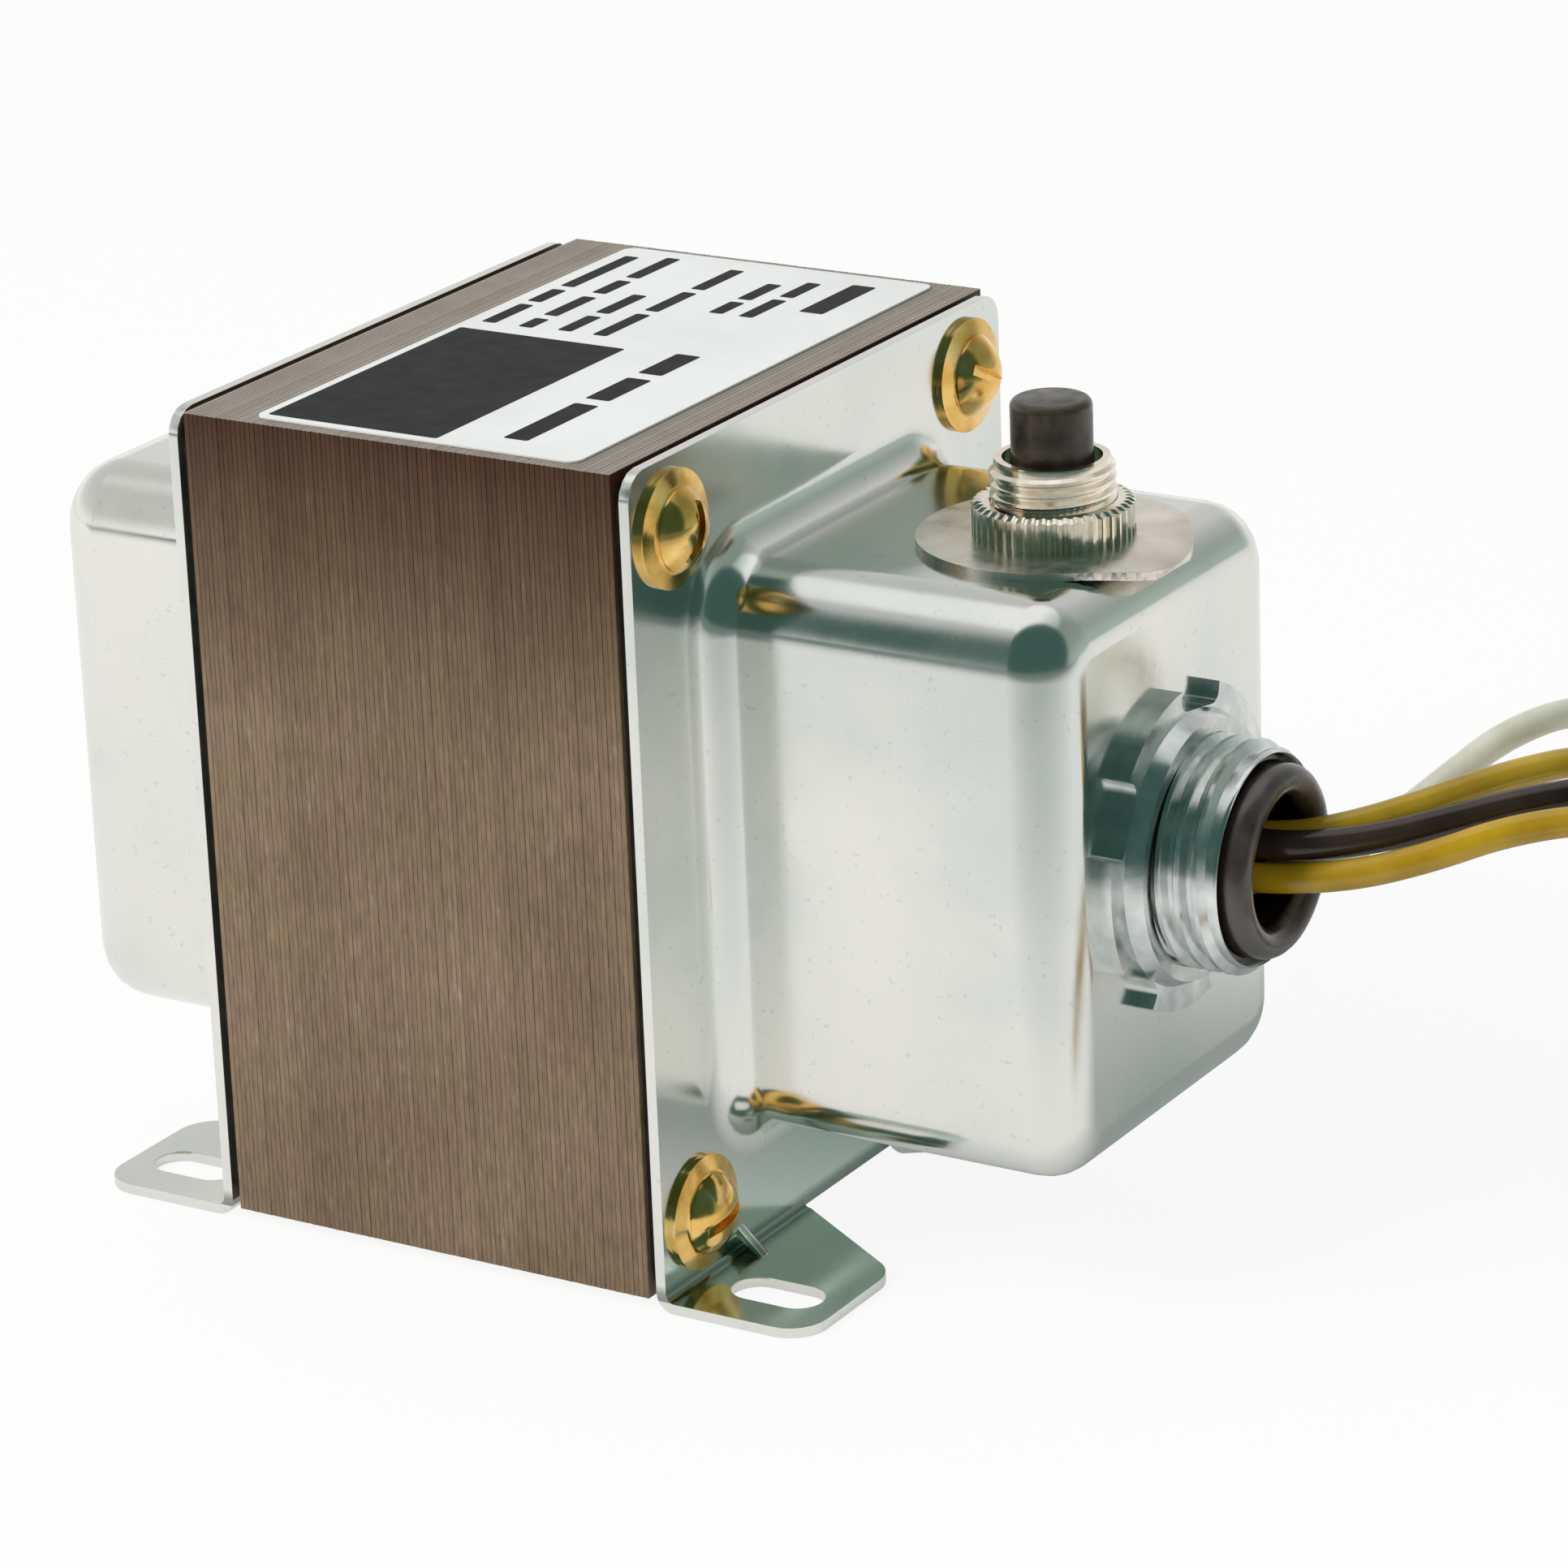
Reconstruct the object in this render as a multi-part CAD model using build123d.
from build123d import *
import math
import os

# Control transformer with two drawn end bells. X runs along the core stack, with the conduit hub at +X.
# Z is up. The origin is the centre of the four foot slots, on the underside of the feet. Sizes in mm.

# Laminated core
tongue_width = 25.4
window_width = 12.7
window_length = 38.1
leg_width = 12.7
yoke_width = 12.7
stack = 44.45
group_count = 10
core_lift = 1.0
core_bolt_hole = 4.75
bolt_inset = 6.35

core_height = tongue_width + 2 * (window_width + leg_width)
core_width = window_length + 2 * yoke_width
core_middle = core_lift + core_height / 2
core_top = core_lift + core_height

# Paper gaskets between the core and the bells
gasket_thickness = 0.8
gasket_inset = 0.7

# Coil former and windings
former_clearance = 0.25
former_wall = 1.2
former_flange = 1.2
former_end_clearance = 1.05
former_corner = 2.0
winding_inner_corner = 0.5
winding_build = 8.0
winding_corner = 5.0
wrap_thickness = 0.5
former_lip = 0.5

former_half = window_length / 2 - former_end_clearance
former_x = stack / 2 + former_clearance
former_z = tongue_width / 2 + former_clearance
winding_outer = former_wall + winding_build
wrap_outer = winding_outer + wrap_thickness
wrap_face = former_x + wrap_outer
flange_reach = wrap_outer + former_lip

# Drawn sheet steel end bells, whose bulges clear the coil
sheet = 1.0
flange_corner = 2.5
coil_side_clearance = 1.3
coil_top_clearance = 2.35
bulge_corner = 6.0
bulge_edge = 5.0
root_radius = 3.5
left_depth = 23.5
right_depth = 34.6

flange_inner = stack / 2 + gasket_thickness
flange_outer = flange_inner + sheet
bulge_width = 2 * (former_half + coil_side_clearance + sheet)
bulge_height = 2 * (former_z + flange_reach + coil_top_clearance + sheet)
bulge_top = core_middle + bulge_height / 2
right_end = flange_outer + right_depth

# Feet bent out of the flanges
foot_beyond_slot = 6.7
foot_tip_width = 14.8
foot_root_width = 23.5
foot_tip_corner = 3.5
foot_taper_corner = 2.0
foot_bend = 0.8
slot_spacing_x = 63.5
slot_spacing_y = 50.8
slot_width = 4.8
slot_length = 9.0
dart_leg = 3.4
dart_width = 2.2
dart_from_edge = 12.7

# Through bolts and their nuts
bolt_diameter = 4.1
bolt_clearance = 0.4
bolt_washer_diameter = 10.6
bolt_washer_thickness = 0.9
bolt_dome_diameter = 8.2
bolt_dome_side = 0.7
bolt_dome_height = 2.3
bolt_slot_width = 1.2
bolt_slot_depth = 1.1
bolt_slot_turns = (70, 16, -30, 45)
bolt_end = 1.6
nut_across_flats = 8.7
nut_thickness = 3.2

# Rating label on the core
label_length = 61.0
label_width = 33.6
label_thickness = 0.2
label_corner = 1.2
label_offset = 1.3

# Conduit hub: nipple, locknut and throat bushing
hub_thread = 20.8
hub_bore = 16.4
hub_head_diameter = 26.0
hub_head_thickness = 2.5
hub_length = 9.0
hub_end_chamfer = 0.4
hub_hole_clearance = 0.2
hub_seat_diameter = 19.0
hub_seat_depth = 1.5
locknut_diameter = 29.4
locknut_notch_diameter = 24.8
locknut_lobes = 5
locknut_lobe_angle = 42
locknut_first_lobe = 45
locknut_rim = 1.6
locknut_thickness = 3.1
locknut_collar = 23.4
locknut_clearance = 0.05
bushing_clearance = 0.05
bushing_bore = 13.0
bushing_mouth = 2.4

# Push-to-reset breaker
breaker_from_end = 11.4
neck_diameter = 11.1
neck_bore_clearance = 0.08
neck_mouth_diameter = 8.8
neck_mouth_depth = 2.0
neck_top_chamfer = 0.5
neck_above_bell = 7.6
neck_hole_clearance = 0.15
legend_diameter = 24.2
legend_thickness = 0.7
legend_droop_radius = 9.0
face_nut_diameter = 14.3
face_nut_thickness = 3.1
face_nut_chamfer = 0.35
thread_clearance = 0.05
back_nut_across_flats = 12.7
back_nut_thickness = 2.0
case_length = 14.0
case_width = 17.0
case_height = 16.6
case_corner = 1.5
neck_insert = 2.3
button_diameter = 7.2
button_above_neck = 5.2
button_top_corner = 0.7
button_collar_diameter = 9.6
button_collar_thickness = 1.2
button_collar_clearance = 0.4
button_travel = 3.0
button_stop_gap = 0.3
tab_width = 4.8
tab_thickness = 0.8
tab_length = 4.0
tab_insert = 2.0
tab_spacing = 9.0
tab_above_case_floor = 6.0
jumper_diameter = 1.2

# Leads
lead_diameter = 2.7
lead_floor_gap = 0.05
run_share = 0.45
sleeve_diameter = 4.2
sleeve_end = 38.2
strip_length = 8.0
strip_diameter = 1.2


def box_between(x_range, y_range, z_range):
    """A box given by its limits on each axis."""
    size = [abs(high - low) for low, high in (x_range, y_range, z_range)]
    middle = [(high + low) / 2 for low, high in (x_range, y_range, z_range)]
    return Pos(*middle) * Box(*size)


def across_x(x, y, z):
    """A plane across the X axis, whose own x runs along Y and whose own y runs along Z."""
    return Plane(origin=(x, y, z), x_dir=(0, 1, 0), z_dir=(1, 0, 0))


def across_y(y):
    """A plane across the Y axis, whose own x runs along X and whose own y runs along Z."""
    return Plane(origin=(0, y, 0), x_dir=(1, 0, 0), z_dir=(0, -1, 0))


def rod_x(diameter, x_start, x_end, y, z):
    """A cylinder along X from x_start to x_end."""
    return extrude(across_x(x_start, y, z) * Circle(diameter / 2), x_end - x_start)


def rod_z(diameter, z_start, z_end, x, y):
    """A cylinder along Z from z_start to z_end."""
    return extrude(Plane.XY.offset(z_start) * Pos(x, y) * Circle(diameter / 2), z_end - z_start)


def turned_x(profile, y, z):
    """A solid turned about an axis along X, from a profile of (x, radius) lines in the XY plane."""
    return Pos(0, y, z) * revolve(profile, Axis.X)


def turned_z(profile, x, y):
    """A solid turned about an axis along Z, from a profile of (radius, z) lines in the XZ plane."""
    return Pos(x, y, 0) * revolve(Plane.XZ * profile, Axis.Z)


bolt_places = [
    (side_y * (core_width / 2 - bolt_inset), core_middle + side_z * (core_height / 2 - bolt_inset))
    for side_y in (-1, 1)
    for side_z in (1, -1)
]


# The core is a stack of E and I punchings, turned end for end from one group to the next.
def drill_core(shape):
    """The bolt holes through the corners of the punchings."""
    for y, z in bolt_places:
        shape -= rod_x(core_bolt_hole, -stack, stack, y, z)
    return shape


def e_punchings(x_range, back_side):
    """A group of E punchings whose back lies on the given side of Y."""
    leg_y = (-window_length / 2, window_length / 2)
    shape = box_between(x_range, (back_side * window_length / 2, back_side * core_width / 2), (core_lift, core_top))
    shape += box_between(x_range, leg_y, (core_middle - tongue_width / 2, core_middle + tongue_width / 2))
    shape += box_between(x_range, leg_y, (core_lift, core_lift + leg_width))
    shape += box_between(x_range, leg_y, (core_top - leg_width, core_top))
    return drill_core(shape)


def i_punchings(x_range, back_side):
    """The group of I punchings that closes the open side of an E group."""
    bar_y = (-back_side * core_width / 2, -back_side * window_length / 2)
    return drill_core(box_between(x_range, bar_y, (core_lift, core_top)))


group_thickness = stack / group_count
e_laminations = []
i_laminations = []
for group in range(group_count):
    group_start = -stack / 2 + group * group_thickness
    group_range = (group_start, group_start + group_thickness)
    back = -1 if group % 2 == 0 else 1
    e_laminations.append(e_punchings(group_range, back))
    i_laminations.append(i_punchings(group_range, back))


# A fish paper frame stands between the core and each bell, a little back from the core's edges.
gasket_plane = across_x(stack / 2, 0, core_middle)
gasket_outline = RectangleRounded(core_width - 2 * gasket_inset, core_height - 2 * gasket_inset, flange_corner)
gasket_opening = RectangleRounded(
    bulge_width + 2 * root_radius, bulge_height + 2 * root_radius, bulge_corner + root_radius
)
right_gasket = extrude(gasket_plane * (gasket_outline - gasket_opening), gasket_thickness)
for bolt_y, bolt_z in bolt_places:
    right_gasket -= rod_x(core_bolt_hole, 0, stack, bolt_y, bolt_z)
left_gasket = mirror(right_gasket, Plane.YZ)


# Each bell is one drawn sheet: a flat flange, a deep rounded bulge over the coil, and two bent feet.
def bulge_block(depth, grow):
    """The bulge as a solid block. A negative grow gives the space inside it."""
    outline = RectangleRounded(bulge_width + 2 * grow, bulge_height + 2 * grow, bulge_corner + grow)
    block = extrude(across_x(flange_inner, 0, core_middle) * outline, sheet + depth + grow)
    return fillet(block.faces().sort_by(Axis.X)[-1].edges(), bulge_edge + grow)


def edges_round_bulge(shell, x):
    """The edges in the plane at x that run round the foot of the bulge."""
    return [
        edge
        for edge in shell.edges().filter_by_position(Axis.X, x - sheet / 10, x + sheet / 10)
        if abs(edge.center().Y) < core_width / 2 - sheet
        and abs(edge.center().Z - core_middle) < core_height / 2 - sheet
    ]


def foot(side):
    """One foot: the bend at the foot of the flange, the flat tab with its slot, and a stiffening dart."""
    outer_y = core_width / 2
    root_y = outer_y - foot_root_width
    tip_x = slot_spacing_x / 2 + foot_beyond_slot
    bend_x = flange_outer + foot_bend
    bend_z = sheet + foot_bend
    bend_lines = [
        RadiusArc((flange_inner, bend_z), (bend_x, 0), -bend_z),
        Line((bend_x, 0), (tip_x, 0)),
        Line((tip_x, 0), (tip_x, sheet)),
        Line((tip_x, sheet), (bend_x, sheet)),
        RadiusArc((bend_x, sheet), (flange_outer, bend_z), foot_bend),
        Line((flange_outer, bend_z), (flange_inner, bend_z)),
    ]
    folded = extrude(across_y(outer_y) * make_face(bend_lines), foot_root_width)
    plan = make_face(
        Polyline(
            (flange_inner, outer_y),
            (tip_x, outer_y),
            (tip_x, outer_y - foot_tip_width),
            (flange_outer, root_y),
            (flange_inner, root_y),
            close=True,
        )
    )
    tip_corners = plan.vertices().group_by(Axis.X)[-1].sort_by(Axis.Y)
    plan = fillet(tip_corners[-1], foot_tip_corner)
    plan = fillet(plan.vertices().group_by(Axis.X)[-1].sort_by(Axis.Y)[0], foot_taper_corner)
    plan -= Pos(slot_spacing_x / 2, slot_spacing_y / 2) * SlotOverall(slot_length, slot_width)
    tab = folded & extrude(plan, 2 * bend_z)
    dart_middle = outer_y - dart_from_edge
    dart = make_face(
        Polyline(
            (flange_outer - sheet / 2, sheet / 2),
            (flange_outer + dart_leg + sheet / 2, sheet / 2),
            (flange_outer - sheet / 2, sheet + dart_leg + sheet / 2),
            close=True,
        )
    )
    tab += extrude(across_y(dart_middle + dart_width / 2) * dart, dart_width)
    return tab if side > 0 else mirror(tab, Plane.XZ)


def end_bell(depth):
    """A bell on the +X side of the core, before the holes that only one bell has."""
    flange_outline = Pos(0, core_middle) * Rectangle(core_width, core_height)
    flange_outline = fillet(flange_outline.vertices().group_by(Axis.Y)[-1], flange_corner)
    shell = extrude(across_x(flange_inner, 0, 0) * flange_outline, sheet)
    shell += bulge_block(depth, 0)
    shell = fillet(edges_round_bulge(shell, flange_outer), root_radius)
    shell -= bulge_block(depth, -sheet)
    shell = fillet(edges_round_bulge(shell, flange_inner), root_radius + sheet)
    for side in (-1, 1):
        outer_y = side * core_width / 2
        root_y = outer_y - side * foot_root_width
        shell -= box_between((0, flange_outer), (root_y, outer_y), (0, sheet + foot_bend))
        shell += foot(side)
    for y, z in bolt_places:
        shell -= rod_x(bolt_diameter + bolt_clearance, 0, flange_outer, y, z)
    return shell


right_bell = end_bell(right_depth)
right_bell -= rod_x(hub_thread + 2 * hub_hole_clearance, right_end - bulge_edge, right_end, 0, core_middle)
neck_hole = neck_diameter + 2 * neck_hole_clearance
right_bell -= rod_z(neck_hole, bulge_top - bulge_edge, bulge_top, right_end - breaker_from_end, 0)
left_bell = mirror(end_bell(left_depth), Plane.YZ)


# Slotted washer-head bolts pass through both bells and the core, with hex nuts on the left bell.
def through_bolt(y, z, slot_turn):
    """A bolt whose head bears on the right bell and whose end stands out of its nut."""
    washer_x = flange_outer + bolt_washer_thickness
    side_x = washer_x + bolt_dome_side
    dome_x = washer_x + bolt_dome_height
    dome_radius = bolt_dome_diameter / 2
    dome_rise = dome_x - side_x
    dome_arc = (dome_radius**2 + dome_rise**2) / (2 * dome_rise)
    end_x = -(flange_outer + nut_thickness + bolt_end)
    profile = make_face(
        [
            Polyline(
                (dome_x, 0),
                (end_x, 0),
                (end_x, bolt_diameter / 2),
                (flange_outer, bolt_diameter / 2),
                (flange_outer, bolt_washer_diameter / 2),
                (washer_x, bolt_washer_diameter / 2),
                (washer_x, dome_radius),
                (side_x, dome_radius),
            ),
            RadiusArc((side_x, dome_radius), (dome_x, 0), dome_arc),
        ]
    )
    bolt = turned_x(profile, y, z)
    slot = Rot(slot_turn, 0, 0) * Box(2 * bolt_slot_depth, bolt_washer_diameter, bolt_slot_width)
    return bolt - Pos(dome_x, y, z) * slot


def bolt_nut(y, z):
    """A hex nut that bears on the left bell, with its bore a close fit on the bolt."""
    hexagon = RegularPolygon(nut_across_flats / 2, 6, major_radius=False)
    bore = Circle(bolt_diameter / 2 + thread_clearance)
    return extrude(across_x(-flange_outer, y, z) * (hexagon - bore), -nut_thickness)


through_bolts = [
    through_bolt(bolt_y, bolt_z, turn) for (bolt_y, bolt_z), turn in zip(bolt_places, bolt_slot_turns)
]
bolt_nuts = [bolt_nut(bolt_y, bolt_z) for bolt_y, bolt_z in bolt_places]


# The rating label is a thin paper sheet stuck on top of the core.
label_outline = RectangleRounded(label_width, label_length, label_corner)
rating_label = extrude(Plane.XY.offset(core_top) * Pos(label_offset, 0) * label_outline, label_thickness)


# The coil former slides over the tongue. The two windings sit side by side on it, each under its wrap.
def ring_round_tongue(inner, outer, y_range, corner):
    """A rounded tube round the tongue, between two distances out from the former's bore."""
    y_start, y_end = y_range
    outline = RectangleRounded(2 * (former_x + outer), 2 * (former_z + outer), corner)
    inner_corner = max(corner - outer + inner, winding_inner_corner)
    opening = RectangleRounded(2 * (former_x + inner), 2 * (former_z + inner), inner_corner)
    return Pos(0, 0, core_middle) * extrude(across_y(y_end) * (outline - opening), y_end - y_start)


coil_former = ring_round_tongue(0, former_wall, (-former_half, former_half), former_corner)
for flange_y in (-former_half, -former_flange / 2, former_half - former_flange):
    flange_range = (flange_y, flange_y + former_flange)
    coil_former += ring_round_tongue(0, flange_reach, flange_range, former_corner)
primary_space = (-former_half + former_flange, -former_flange / 2)
secondary_space = (former_flange / 2, former_half - former_flange)
primary_winding = ring_round_tongue(former_wall, winding_outer, primary_space, winding_corner)
secondary_winding = ring_round_tongue(former_wall, winding_outer, secondary_space, winding_corner)
primary_wrap = ring_round_tongue(winding_outer, wrap_outer, primary_space, winding_corner + wrap_thickness)
secondary_wrap = ring_round_tongue(winding_outer, wrap_outer, secondary_space, winding_corner + wrap_thickness)


# A chase nipple passes out through the right bell and is held by a dished locknut. An insulating bushing
# lines its bore.
hub_inner = right_end - sheet
hub_mouth = right_end + hub_length
hub_profile = make_face(
    Polyline(
        (hub_inner - hub_head_thickness, hub_bore / 2),
        (hub_inner - hub_head_thickness, hub_head_diameter / 2),
        (hub_inner, hub_head_diameter / 2),
        (hub_inner, hub_thread / 2),
        (hub_mouth - hub_end_chamfer, hub_thread / 2),
        (hub_mouth, hub_thread / 2 - hub_end_chamfer),
        (hub_mouth, hub_seat_diameter / 2),
        (hub_mouth - hub_seat_depth, hub_seat_diameter / 2),
        (hub_mouth - hub_seat_depth, hub_bore / 2),
        close=True,
    )
)
hub_nipple = turned_x(hub_profile, 0, core_middle)

locknut_front = right_end + locknut_thickness
locknut_bore = hub_thread / 2 + locknut_clearance
locknut_profile = make_face(
    Polyline(
        (right_end, locknut_bore),
        (right_end, locknut_diameter / 2),
        (right_end + locknut_rim, locknut_diameter / 2),
        (right_end + locknut_rim, locknut_notch_diameter / 2),
        (locknut_front, locknut_collar / 2),
        (locknut_front, locknut_bore),
        close=True,
    )
)
hub_locknut = turned_x(locknut_profile, 0, core_middle)
lobe_pitch = 360 / locknut_lobes
notch_angle = lobe_pitch - locknut_lobe_angle
notch_middle_radius = (locknut_diameter + locknut_notch_diameter) / 4
notch_width = 2 * notch_middle_radius * math.sin(math.radians(notch_angle / 2))
notch_depth = (locknut_diameter - locknut_notch_diameter) / 2
for lobe in range(locknut_lobes):
    notch_turn = locknut_first_lobe + (lobe + 0.5) * lobe_pitch
    notch = Rectangle(2 * notch_depth, notch_width)
    notch = fillet(notch.vertices(), notch_depth / 2)
    notch_place = Rot(0, 0, notch_turn) * Pos(locknut_notch_diameter / 2 + notch_depth, 0)
    hub_locknut -= extrude(across_x(right_end, 0, core_middle) * notch_place * notch, locknut_thickness)

bushing_outer = hub_bore / 2 - bushing_clearance
bushing_flange = hub_seat_diameter / 2 - bushing_clearance
bushing_start = hub_inner - hub_head_thickness
bushing_profile = make_face(
    [
        Polyline(
            (hub_mouth - bushing_mouth, bushing_bore / 2),
            (bushing_start, bushing_bore / 2),
            (bushing_start, bushing_outer),
            (hub_mouth - hub_seat_depth, bushing_outer),
            (hub_mouth - hub_seat_depth, bushing_flange),
            (hub_mouth, bushing_flange),
            (hub_mouth, bushing_bore / 2 + bushing_mouth),
        ),
        RadiusArc(
            (hub_mouth, bushing_bore / 2 + bushing_mouth),
            (hub_mouth - bushing_mouth, bushing_bore / 2),
            bushing_mouth,
        ),
    ]
)
hub_bushing = turned_x(bushing_profile, 0, core_middle)


# The reset breaker hangs from the top of the right bell by its threaded neck. A back nut under the sheet,
# a legend washer and a knurled face nut clamp it. Its button stands up when it trips.
breaker_x = right_end - breaker_from_end
bell_ceiling = bulge_top - sheet
case_top = bell_ceiling - back_nut_thickness
case_floor = case_top - case_height
neck_top = bulge_top + neck_above_bell
neck_bottom = case_top - neck_insert
legend_top = bulge_top + legend_thickness
button_top = neck_top + button_above_neck
collar_top = neck_bottom - button_stop_gap - button_travel
collar_bottom = collar_top - button_collar_thickness
neck_bore = button_diameter / 2 + neck_bore_clearance

breaker_neck = turned_z(
    make_face(
        Polyline(
            (neck_bore, neck_bottom),
            (neck_diameter / 2, neck_bottom),
            (neck_diameter / 2, neck_top - neck_top_chamfer),
            (neck_diameter / 2 - neck_top_chamfer, neck_top),
            (neck_mouth_diameter / 2, neck_top),
            (neck_mouth_diameter / 2, neck_top - neck_mouth_depth),
            (neck_bore, neck_top - neck_mouth_depth),
            close=True,
        )
    ),
    breaker_x,
    0,
)

breaker_button = turned_z(
    make_face(
        [
            Polyline(
                (0, button_top),
                (0, collar_bottom),
                (button_collar_diameter / 2, collar_bottom),
                (button_collar_diameter / 2, collar_top),
                (button_diameter / 2, collar_top),
                (button_diameter / 2, button_top - button_top_corner),
            ),
            RadiusArc(
                (button_diameter / 2, button_top - button_top_corner),
                (button_diameter / 2 - button_top_corner, button_top),
                -button_top_corner,
            ),
            Line((button_diameter / 2 - button_top_corner, button_top), (0, button_top)),
        ]
    ),
    breaker_x,
    0,
)

case_x = (breaker_x - case_length / 2, breaker_x + case_length / 2)
breaker_case = box_between(case_x, (-case_width / 2, case_width / 2), (case_floor, case_top))
breaker_case = fillet(breaker_case.edges().filter_by(Axis.Z), case_corner)
breaker_case -= rod_z(neck_diameter, neck_bottom, case_top, breaker_x, 0)
cavity_diameter = button_collar_diameter + 2 * button_collar_clearance
breaker_case -= rod_z(cavity_diameter, collar_bottom, neck_bottom, breaker_x, 0)
tab_z = case_floor + tab_above_case_floor
tab_x = (case_x[0] - tab_length, case_x[0] + tab_insert)
breaker_terminals = []
breaker_jumpers = []
for tab_side in (-1, 1):
    tab_y = tab_side * tab_spacing / 2
    tab = box_between(
        tab_x, (tab_y - tab_width / 2, tab_y + tab_width / 2), (tab_z - tab_thickness / 2, tab_z + tab_thickness / 2)
    )
    breaker_terminals.append(tab)
    breaker_case -= tab
    breaker_jumpers.append(rod_x(jumper_diameter, wrap_face, tab_x[0], tab_y, tab_z))

back_hexagon = Rot(0, 0, 30) * RegularPolygon(back_nut_across_flats / 2, 6, major_radius=False)
back_bore = Circle(neck_diameter / 2 + thread_clearance)
back_nut_plane = Plane.XY.offset(case_top) * Pos(breaker_x, 0)
breaker_back_nut = extrude(back_nut_plane * (back_hexagon - back_bore), back_nut_thickness)

# The legend washer is thin sheet. Its rim droops over the rounded end of the bell.
droop_start = breaker_x + face_nut_diameter / 2
legend_rim = breaker_x + legend_diameter / 2
droop_turn = math.asin((legend_rim - droop_start) / (legend_droop_radius + legend_thickness))
droop_centre = (droop_start, bulge_top - legend_droop_radius)


def droop_point(radius):
    """The point at the end of the droop on the circle of a given radius."""
    return (droop_centre[0] + radius * math.sin(droop_turn), droop_centre[1] + radius * math.cos(droop_turn))


legend_lower = legend_droop_radius
legend_upper = legend_droop_radius + legend_thickness
legend_profile = make_face(
    [
        Polyline(
            (droop_start, legend_top),
            (breaker_x - legend_diameter, legend_top),
            (breaker_x - legend_diameter, bulge_top),
            (droop_start, bulge_top),
        ),
        RadiusArc((droop_start, bulge_top), droop_point(legend_lower), legend_lower),
        Line(droop_point(legend_lower), droop_point(legend_upper)),
        RadiusArc(droop_point(legend_upper), (droop_start, legend_top), -legend_upper),
    ]
)
legend_sheet = extrude(across_y(legend_diameter / 2) * legend_profile, legend_diameter)
legend_span = (bulge_top - legend_droop_radius, legend_top)
legend_washer = legend_sheet & rod_z(legend_diameter, *legend_span, breaker_x, 0)
legend_washer -= rod_z(neck_hole, *legend_span, breaker_x, 0)

face_nut_top = legend_top + face_nut_thickness
face_nut_radius = face_nut_diameter / 2
breaker_face_nut = turned_z(
    make_face(
        Polyline(
            (neck_diameter / 2 + thread_clearance, legend_top),
            (face_nut_radius, legend_top),
            (face_nut_radius, face_nut_top - face_nut_chamfer),
            (face_nut_radius - face_nut_chamfer, face_nut_top),
            (neck_diameter / 2 + thread_clearance, face_nut_top),
            close=True,
        )
    ),
    breaker_x,
    0,
)


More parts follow.
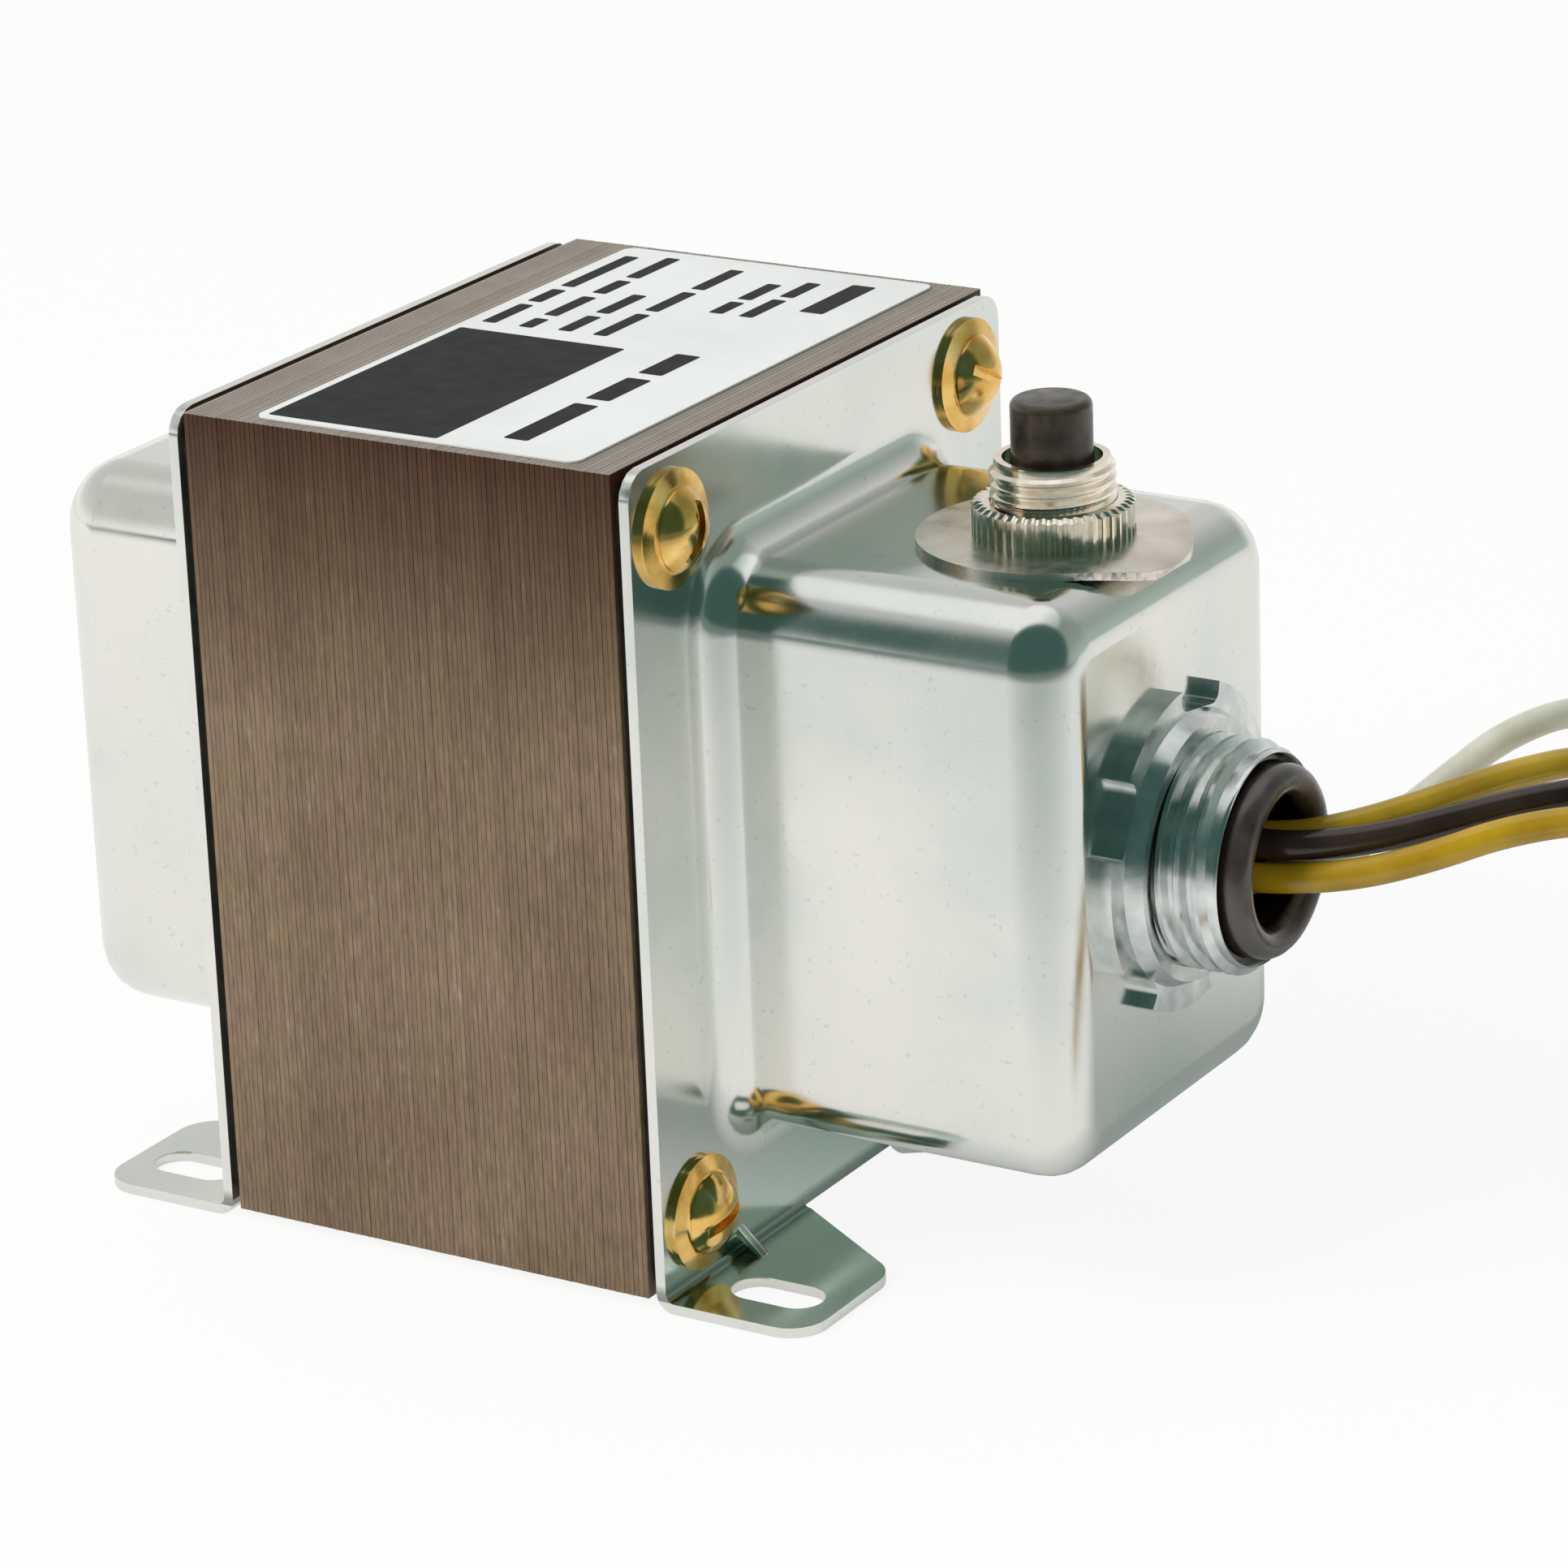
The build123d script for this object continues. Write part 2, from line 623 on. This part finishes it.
# Four leads run from splice sleeves on the coil, out through the bushing and down to the surface that the
# transformer stands on, where they lie side by side. Each ends in a stripped length of bare wire.
lying = lead_diameter / 2 + lead_floor_gap
lead_routes = {
    "front_yellow_lead": [
        (sleeve_end, -7.5, 38.4),
        (46.0, -7.5, 38.4),
        (54.0, -4.2, 37.6),
        (61.5, -1.5, 37.3),
        (68.5, 0.0, 37.4),
        (75.5, 1.2, 38.5),
        (81.6, 3.5, 40.4),
        (87.2, 7.3, 42.5),
        (93.5, 12.5, 43.0),
        (98.0, 18.5, 39.5),
        (98.5, 23.5, 33.0),
        (98.0, 27.5, 25.5),
        (97.0, 31.5, 18.0),
        (97.5, 35.5, 11.0),
        (100.0, 40.5, 5.0),
        (105.5, 45.5, 2.0),
        (112.5, 49.5, lying),
        (121.0, 50.0, lying),
        (128.0, 45.5, lying),
        (131.5, 38.0, lying),
        (131.5, 29.5, lying),
        (131.0, 21.0, lying),
        (129.5, 13.0, lying),
        (127.5, 5.0, lying),
        (125.0, -3.0, lying),
        (121.0, -10.5, lying),
        (117.0, -17.5, lying),
    ],
    "black_lead": [
        (sleeve_end, 2.9, 42.0),
        (46.0, 2.9, 42.0),
        (54.0, 1.9, 41.0),
        (61.5, 1.6, 40.5),
        (68.5, 2.1, 40.4),
        (75.0, 4.2, 40.9),
        (80.7, 7.2, 42.1),
        (86.0, 11.8, 43.3),
        (92.0, 18.0, 43.7),
        (95.5, 25.0, 39.5),
        (95.5, 30.0, 32.5),
        (94.5, 34.0, 24.5),
        (94.0, 37.5, 16.5),
        (95.0, 41.5, 9.0),
        (100.0, 46.5, 3.5),
        (107.0, 51.0, lying),
        (115.5, 54.0, lying),
        (124.0, 52.5, lying),
        (131.0, 47.0, lying),
        (134.5, 39.0, lying),
        (135.0, 30.5, lying),
        (134.5, 21.5, lying),
        (133.0, 13.0, lying),
        (131.0, 4.5, lying),
        (128.0, -4.0, lying),
        (124.0, -12.0, lying),
    ],
    "rear_yellow_lead": [
        (sleeve_end, 7.0, 38.5),
        (46.0, 7.0, 38.5),
        (54.0, 4.8, 38.9),
        (61.0, 4.6, 39.2),
        (67.5, 5.2, 39.6),
        (73.0, 7.3, 41.1),
        (78.0, 11.0, 42.5),
        (82.5, 16.0, 43.8),
        (88.0, 23.0, 44.3),
        (91.5, 30.5, 40.5),
        (91.5, 35.5, 33.5),
        (91.0, 39.0, 25.0),
        (90.5, 42.0, 16.5),
        (92.5, 45.5, 8.5),
        (97.5, 49.5, 3.2),
        (105.0, 54.0, lying),
        (113.5, 57.0, lying),
        (122.5, 56.5, lying),
        (130.5, 52.5, lying),
        (136.0, 46.0, lying),
        (138.5, 37.0, lying),
        (138.5, 28.5, lying),
        (138.0, 19.5, lying),
        (136.0, 10.5, lying),
        (134.0, 2.0, lying),
        (131.0, -6.5, lying),
    ],
    "white_lead": [
        (sleeve_end, -3.2, 35.0),
        (45.6, -3.2, 35.0),
        (52.8, -2.2, 34.5),
        (59.8, -0.6, 34.5),
        (65.4, 2.2, 35.4),
        (70.0, 6.8, 37.0),
        (73.6, 12.0, 39.6),
        (76.6, 17.8, 42.4),
        (79.2, 24.0, 44.8),
        (82.5, 33.0, 45.0),
        (84.5, 41.0, 40.0),
        (85.0, 45.0, 31.5),
        (85.5, 47.5, 22.0),
        (88.0, 49.0, 12.5),
        (93.0, 52.0, 5.0),
        (101.0, 56.0, 1.7),
        (110.0, 60.0, lying),
        (119.5, 61.0, lying),
        (129.0, 58.0, lying),
        (136.5, 51.5, lying),
        (141.0, 43.0, lying),
        (142.0, 33.5, lying),
        (142.0, 23.5, lying),
        (140.5, 14.0, lying),
        (138.5, 4.5, lying),
    ],
}


def corner_radii(points):
    """The largest arc that the two runs at each corner of a route allow."""
    radii = []
    for before, corner, after in zip(points, points[1:], points[2:]):
        run_in = Vector(corner) - Vector(before)
        run_out = Vector(after) - Vector(corner)
        half_turn = math.radians(run_in.get_angle(run_out)) / 2
        radii.append(run_share * min(run_in.length, run_out.length) / math.tan(half_turn))
    return radii


leads = {}
splice_sleeves = []
stripped_ends = []
for lead_name, route in lead_routes.items():
    route_radii = corner_radii(route)
    path = FilletPolyline(*route, radius=route_radii)
    section = Plane(origin=path @ 0, z_dir=path % 0) * Circle(lead_diameter / 2)
    leads[lead_name] = sweep(section, path=path)
    splice_sleeves.append(rod_x(sleeve_diameter, wrap_face, sleeve_end, *route[0][1:]))
    stripped_ends.append(extrude(Plane(origin=path @ 1, z_dir=path % 1) * Circle(strip_diameter / 2), strip_length))
    straight_volume = math.pi * lead_diameter**2 / 4 * path.length
    print(lead_name, "length", round(path.length, 1), "volume ratio", round(leads[lead_name].volume / straight_volume, 4))
    print("  bend radii", [round(radius, 1) for radius in route_radii])


nodes = {
    "e_laminations": e_laminations,
    "i_laminations": i_laminations,
    "left_gasket": left_gasket,
    "right_gasket": right_gasket,
    "left_bell": left_bell,
    "right_bell": right_bell,
    "through_bolts": through_bolts,
    "bolt_nuts": bolt_nuts,
    "rating_label": rating_label,
    "coil_former": coil_former,
    "primary_winding": primary_winding,
    "secondary_winding": secondary_winding,
    "primary_wrap": primary_wrap,
    "secondary_wrap": secondary_wrap,
    "hub_nipple": hub_nipple,
    "hub_locknut": hub_locknut,
    "hub_bushing": hub_bushing,
    "breaker_case": breaker_case,
    "breaker_neck": breaker_neck,
    "breaker_button": breaker_button,
    "breaker_terminals": breaker_terminals,
    "breaker_jumpers": breaker_jumpers,
    "breaker_back_nut": breaker_back_nut,
    "legend_washer": legend_washer,
    "breaker_face_nut": breaker_face_nut,
    "splice_sleeves": splice_sleeves,
    "stripped_ends": stripped_ends,
    **leads,
}

os.makedirs("parts", exist_ok=True)
for name, shape in nodes.items():
    solids = shape if isinstance(shape, list) else [shape]
    whole = Compound(children=solids) if len(solids) > 1 else solids[0]
    export_step(whole, f"parts/{name}.step")
